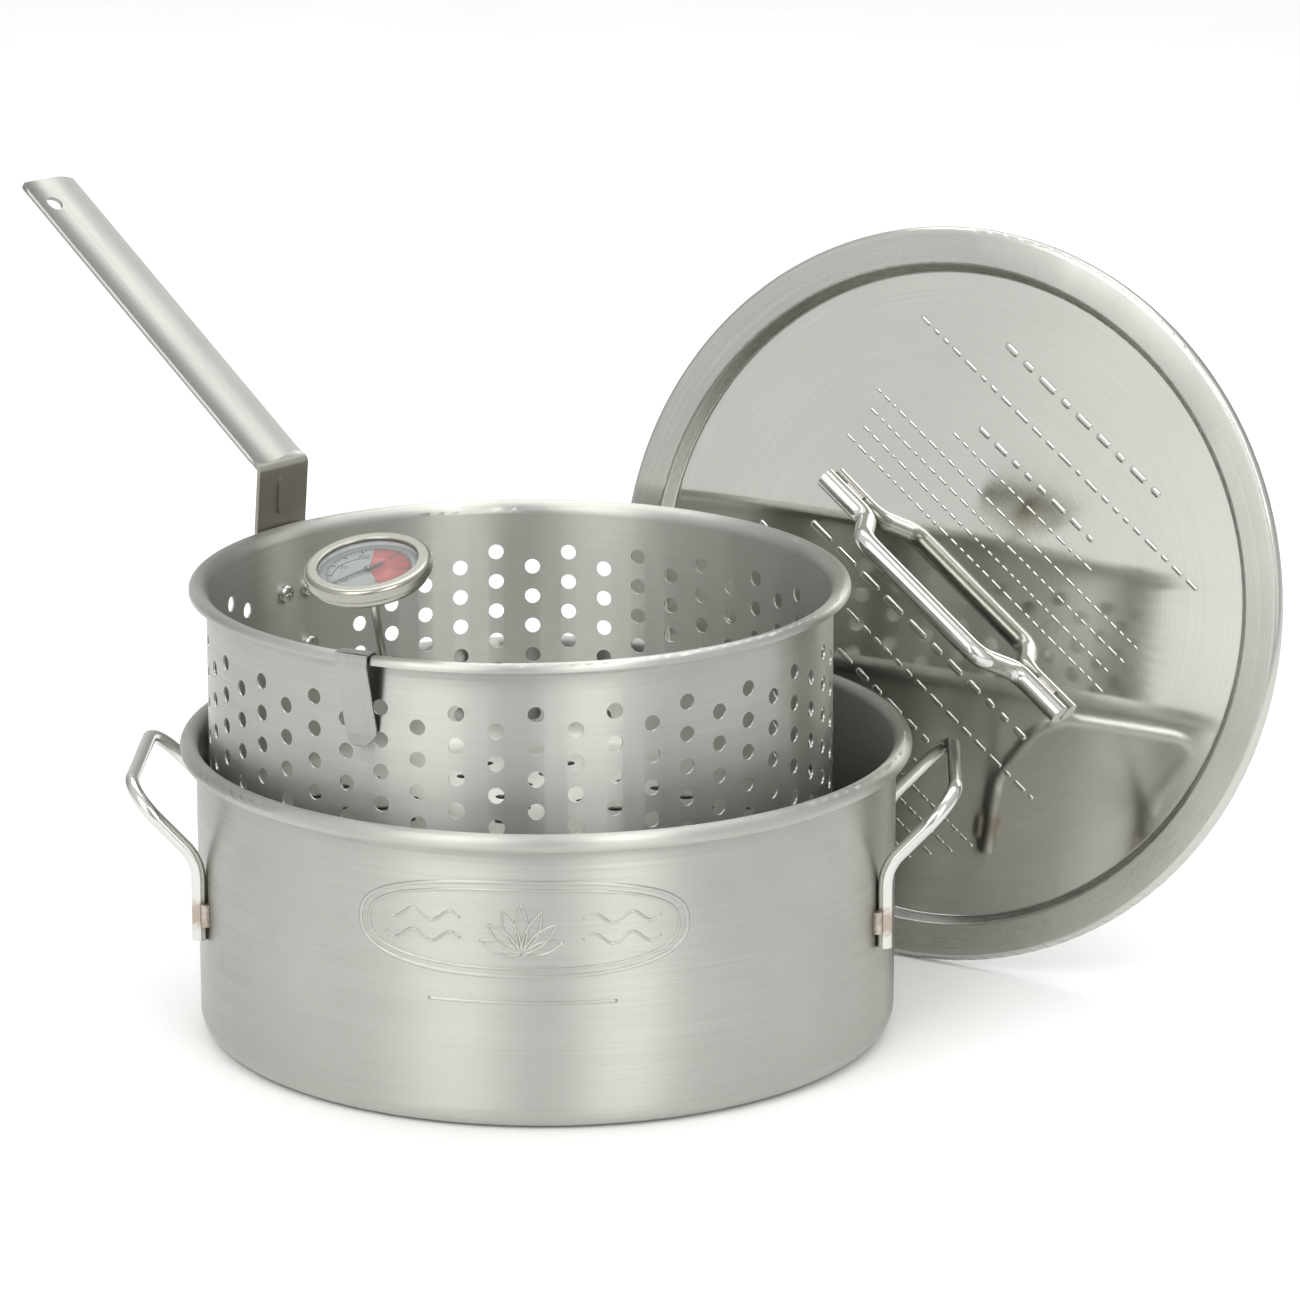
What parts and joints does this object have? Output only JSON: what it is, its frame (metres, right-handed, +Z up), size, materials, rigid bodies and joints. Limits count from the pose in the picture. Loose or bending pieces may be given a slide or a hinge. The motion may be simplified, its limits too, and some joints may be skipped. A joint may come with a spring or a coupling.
{
  "type": "turkey fryer kit",
  "caption": "Wide steel fry pot with a perforated basket hung raised to drain, a dial thermometer clipped to the basket rim, and a domed lid standing beside the pot.",
  "frame": {"origin": "centre of the pot's flat base, on the floor", "axes": "+Z up; +X right and +Y away for a person in front of the pot; the lid stands at +X +Y, the basket handle points to -X +Y"},
  "size_m": [0.5676, 0.3729, 0.3366],
  "materials": {
    "pot_steel": "circumferentially brushed, semi-mirror",
    "basket_steel": "brushed",
    "strap_steel": "fine satin",
    "rod_steel": "polished",
    "weld_steel": "heat-tinted weld",
    "lid_steel": "near-mirror panel, satin band",
    "screw_steel": "bright plated",
    "clip_steel": "satin spring steel",
    "bezel_steel": "polished",
    "stem_steel": "drawn tube",
    "dial_face": "printed, satin",
    "dial_trim": "matt",
    "pointer_black": "black, satin",
    "lens_glass": "clear",
    "brass": "plain"
  },
  "bodies": {
    "pot": {"pot_shell": "pot_steel", "pot_handle_left": "rod_steel", "pot_handle_right": "rod_steel", "pot_handle_welds": "weld_steel"},
    "basket": {"basket_shell": "basket_steel", "basket_handle": "strap_steel", "handle_screws": "screw_steel", "handle_lock_washers": "screw_steel", "handle_nuts": "screw_steel"},
    "clip": {"thermometer_clip": "clip_steel"},
    "stem": {"thermometer_stem": "stem_steel", "calibration_nut": "brass", "bimetal_coil": "brass", "shaft_bush": "brass"},
    "head": {"thermometer_case": "bezel_steel", "dial_plate": "dial_face", "dial_spacer": "dial_trim", "thermometer_lens": "lens_glass", "thermometer_bezel": "bezel_steel"},
    "pointer": {"pointer_shaft": "stem_steel", "thermometer_pointer": "pointer_black"},
    "lid": {"lid_shell": "lid_steel", "lid_handle": "rod_steel", "lid_handle_welds": "weld_steel"}
  },
  "joints": [
    {"name": "basket_lift", "type": "slide", "parent": "pot", "child": "basket", "axis": [0, 0, 1], "range_m": [0, 0.2]},
    {"name": "clip_round_rim", "type": "hinge", "parent": "basket", "child": "clip", "pos_m": [-0.01136, 0.0098, 0.1978], "axis": [0, 0, 1], "range_deg": [-80, 230]},
    {"name": "stem_slide", "type": "slide", "parent": "clip", "child": "stem", "axis": [-0.1199, -0.2294, 0.9659], "range_m": [-0.02, 0.06]},
    {"name": "head_turn", "type": "hinge", "parent": "stem", "child": "head", "pos_m": [-0.06672, -0.0961, 0.19075], "axis": [-0.1199, -0.2294, 0.9659], "continuous": true},
    {"name": "pointer_turn", "type": "hinge", "parent": "stem", "child": "pointer", "pos_m": [-0.06672, -0.0961, 0.19075], "axis": [0.1199, 0.2294, -0.9659], "range_deg": [0, 280]},
    {"name": "lid_lift", "type": "slide", "parent": "pot", "child": "lid", "axis": [0.0817, 0.1414, 0.9866], "range_m": [0, 0.25]}
  ]
}
